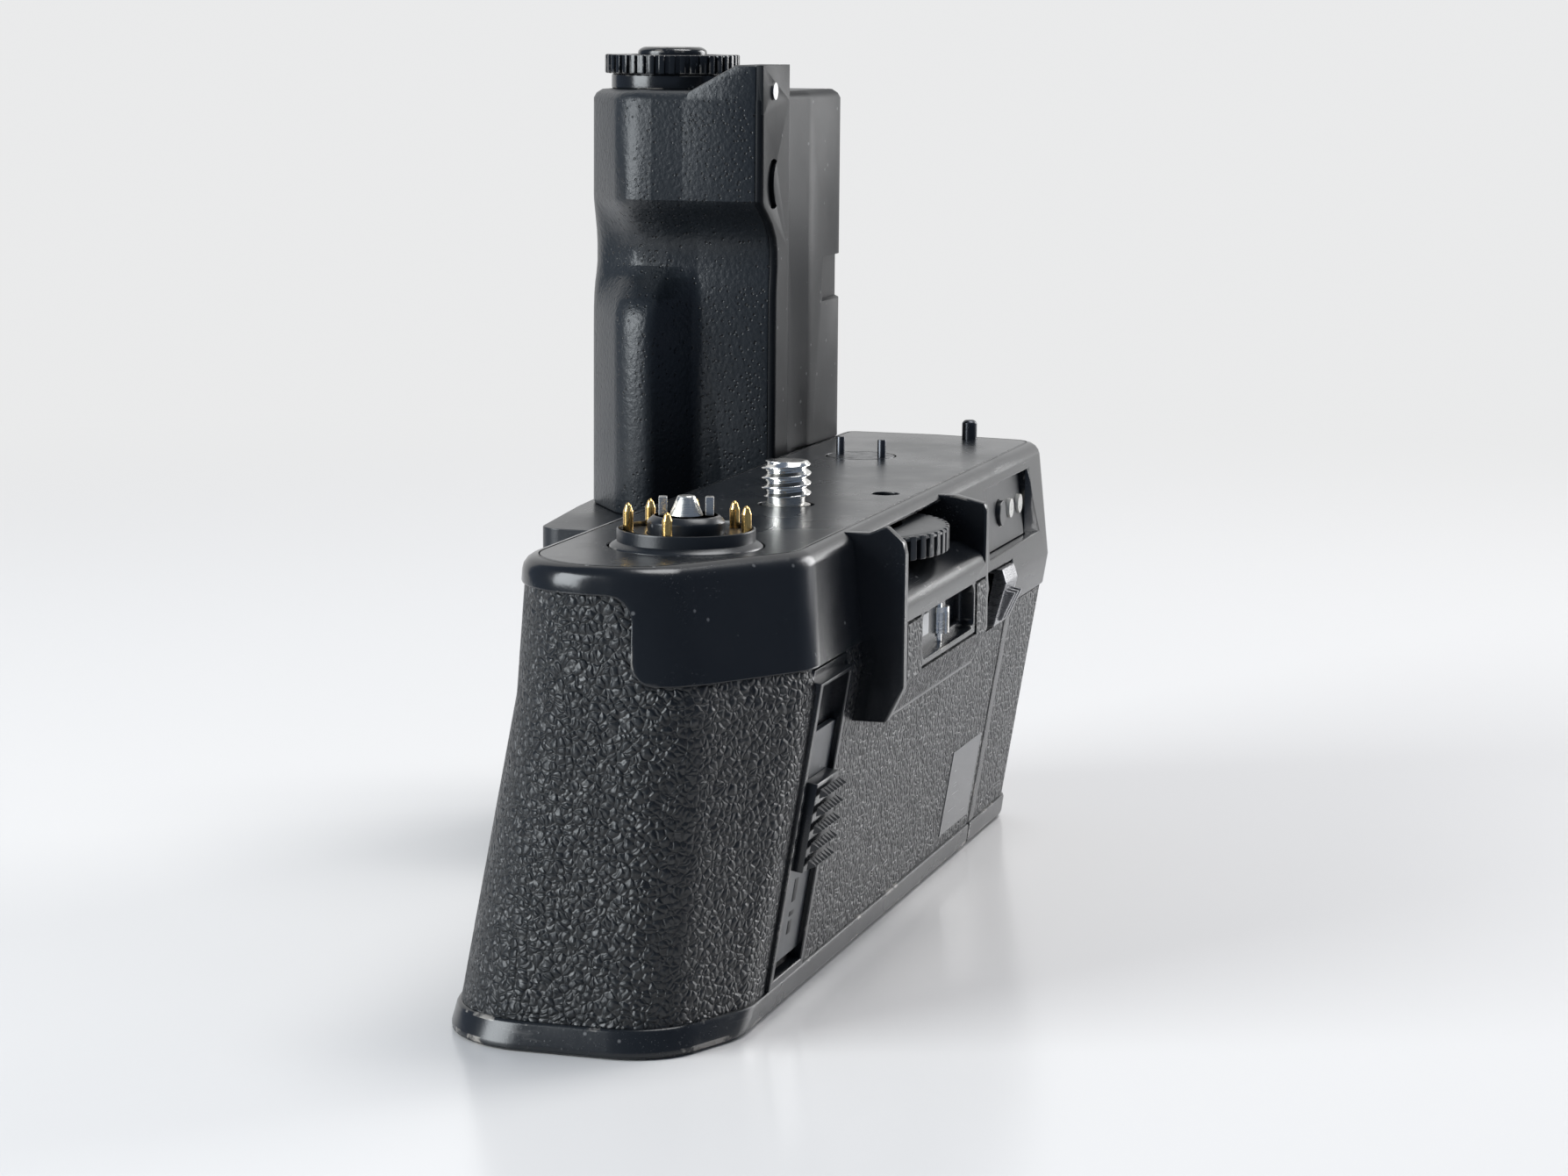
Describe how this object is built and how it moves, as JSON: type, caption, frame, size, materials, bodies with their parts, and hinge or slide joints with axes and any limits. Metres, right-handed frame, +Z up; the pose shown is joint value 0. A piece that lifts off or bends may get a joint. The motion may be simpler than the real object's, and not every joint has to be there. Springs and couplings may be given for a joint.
{
  "type": "camera motor drive",
  "caption": "Leather-covered motor drive that screws under a camera, with a hand grip, shutter button, battery holder and rewind controls.",
  "frame": {"origin": "mouth of the tripod socket, in the plane of the base", "axes": "+Z up out of the top plate, +X along the body from the contact end to the battery cap, +Y to the front, where the grip stands"},
  "size_m": [0.1491, 0.0698, 0.1132],
  "materials": {
    "leather": "coarse pebbled black leatherette",
    "gloss_black": "gloss black, lightly scuffed",
    "satin_black": "satin black paint",
    "crinkle_grip": "crinkle-textured grip",
    "black_plastic": "fine matt black",
    "chrome": "polished",
    "nickel": "worn nickel",
    "steel": "plain steel",
    "gold": "gold plated",
    "brass": "plain brass",
    "clear": "clear window",
    "lamp": "milky lens",
    "board": "circuit board",
    "cell": "plain cell jacket"
  },
  "bodies": {
    "drive_body": {"body_shell": "satin_black", "bottom_cover": "gloss_black", "bottom_screws": "steel", "tripod_socket": "brass", "leather_near": "leather", "leather_back": "leather", "upper_housing": "gloss_black", "leather_panel": "leather", "top_plate": "satin_black", "lamp_panel": "satin_black", "lamps": "lamp", "lamp_bracket": "black_plastic", "counter_window": "clear", "contact_base": "black_plastic", "contact_bridge": "black_plastic", "wheel_carrier": "black_plastic", "gear_plate": "steel", "circuit_board": "board", "board_parts": "black_plastic", "motor_can": "steel", "motor_mount": "steel", "slider_guide": "gloss_black", "grip_front": "crinkle_grip", "grip_rear": "satin_black", "grip_screw": "steel", "front_housing": "satin_black", "remote_socket": "black_plastic", "dial_collar": "gloss_black"},
    "battery_holder": {"battery_tray": "black_plastic", "battery_cells": "cell", "battery_contacts": "nickel", "battery_cap": "gloss_black", "cap_leather": "leather"},
    "attach_wheel": {"thumbwheel": "black_plastic"},
    "attach_screw": {"camera_screw": "chrome", "screw_gear": "steel"},
    "winding_drive": {"wind_coupler": "steel", "wind_gear": "steel"},
    "idler": {"idler_gear": "black_plastic"},
    "motor_rotor": {"motor_pinion": "brass", "motor_shaft": "steel"},
    "rewind_drive": {"rewind_turret": "black_plastic", "rewind_fork": "nickel"},
    "rewind_release_pin": {"rewind_pin": "steel"},
    "release_lever": {"rewind_lever": "nickel"},
    "rewind_slide": {"rewind_slider": "satin_black", "slider_thumb": "black_plastic"},
    "counter": {"counter_roller": "chrome"},
    "check_key": {"check_button": "black_plastic"},
    "selector": {"selector_ring": "gloss_black"},
    "shutter_key": {"shutter_button": "gloss_black"},
    "contact_1": {"contact_pin_1": "gold"},
    "contact_2": {"contact_pin_2": "gold"},
    "contact_3": {"contact_pin_3": "gold"},
    "contact_4": {"contact_pin_4": "gold"},
    "contact_5": {"contact_pin_5": "gold"},
    "contact_6": {"contact_pin_6": "gold"}
  },
  "joints": [
    {"name": "battery_holder_slide", "type": "slide", "parent": "drive_body", "child": "battery_holder", "axis": [1, 0, 0], "range_m": [0, 0.105]},
    {"name": "attach_screw_turn", "type": "hinge", "parent": "drive_body", "child": "attach_screw", "pos_m": [-0.0125, -0.0069, 0.052], "axis": [0, 0, 1], "continuous": true},
    {"name": "attach_wheel_turn", "type": "hinge", "parent": "drive_body", "child": "attach_wheel", "pos_m": [-0.0125, -0.0107, 0.052], "axis": [0, 0, 1], "continuous": true},
    {"name": "winding_turn", "type": "hinge", "parent": "drive_body", "child": "winding_drive", "pos_m": [0.0416, -0.0018, 0.05], "axis": [0, 0, 1], "continuous": true},
    {"name": "idler_turn", "type": "hinge", "parent": "drive_body", "child": "idler", "pos_m": [0.04941, 0.01307, 0.05], "axis": [0, 0, 1], "continuous": true},
    {"name": "motor_turn", "type": "hinge", "parent": "drive_body", "child": "motor_rotor", "pos_m": [0.054, 0.0263, 0.05], "axis": [0, 0, 1], "continuous": true},
    {"name": "rewind_turn", "type": "hinge", "parent": "drive_body", "child": "rewind_drive", "pos_m": [-0.0523, -0.0065, 0.055], "axis": [0, 0, 1], "continuous": true},
    {"name": "rewind_pin_lift", "type": "slide", "parent": "drive_body", "child": "rewind_release_pin", "axis": [0, 0, 1], "range_m": [-0.0015, 0]},
    {"name": "release_lever_slide", "type": "slide", "parent": "drive_body", "child": "release_lever", "axis": [1, 0, 0], "range_m": [-0.005, 0]},
    {"name": "rewind_slider_move", "type": "slide", "parent": "drive_body", "child": "rewind_slide", "axis": [0, -0.1622, 0.9868], "range_m": [0, 0.005]},
    {"name": "counter_turn", "type": "hinge", "parent": "drive_body", "child": "counter", "pos_m": [-0.01, -0.0264, 0.0421], "axis": [0, 0, 1], "continuous": true},
    {"name": "check_button_press", "type": "slide", "parent": "drive_body", "child": "check_key", "axis": [0, 1, 0], "range_m": [0, 0.0008], "stiffness_N_per_m": 500, "springref_m": -0.001},
    {"name": "selector_turn", "type": "hinge", "parent": "drive_body", "child": "selector", "pos_m": [0.053, 0.0303, 0.11], "axis": [0, 0, 1], "range_deg": [-45, 45]},
    {"name": "shutter_button_press", "type": "slide", "parent": "drive_body", "child": "shutter_key", "axis": [0, 0, -1], "range_m": [0, 0.0015], "stiffness_N_per_m": 600, "springref_m": -0.0015},
    {"name": "contact_pin_1_press", "type": "slide", "parent": "drive_body", "child": "contact_1", "axis": [0, 0, -1], "range_m": [0, 0.0012], "stiffness_N_per_m": 400, "springref_m": -0.001},
    {"name": "contact_pin_2_press", "type": "slide", "parent": "drive_body", "child": "contact_2", "axis": [0, 0, -1], "range_m": [0, 0.0012], "stiffness_N_per_m": 400, "springref_m": -0.001},
    {"name": "contact_pin_3_press", "type": "slide", "parent": "drive_body", "child": "contact_3", "axis": [0, 0, -1], "range_m": [0, 0.0012], "stiffness_N_per_m": 400, "springref_m": -0.001},
    {"name": "contact_pin_4_press", "type": "slide", "parent": "drive_body", "child": "contact_4", "axis": [0, 0, -1], "range_m": [0, 0.0012], "stiffness_N_per_m": 400, "springref_m": -0.001},
    {"name": "contact_pin_5_press", "type": "slide", "parent": "drive_body", "child": "contact_5", "axis": [0, 0, -1], "range_m": [0, 0.0012], "stiffness_N_per_m": 400, "springref_m": -0.001},
    {"name": "contact_pin_6_press", "type": "slide", "parent": "drive_body", "child": "contact_6", "axis": [0, 0, -1], "range_m": [0, 0.0012], "stiffness_N_per_m": 400, "springref_m": -0.001}
  ],
  "couplings": [
    {"joint": "attach_screw_turn", "follows": "attach_wheel_turn", "ratio": 1.4167},
    {"joint": "idler_turn", "follows": "winding_turn", "ratio": -0.68},
    {"joint": "motor_turn", "follows": "winding_turn", "ratio": 1.7},
    {"joint": "rewind_pin_lift", "follows": "release_lever_slide", "ratio": 0.3}
  ]
}
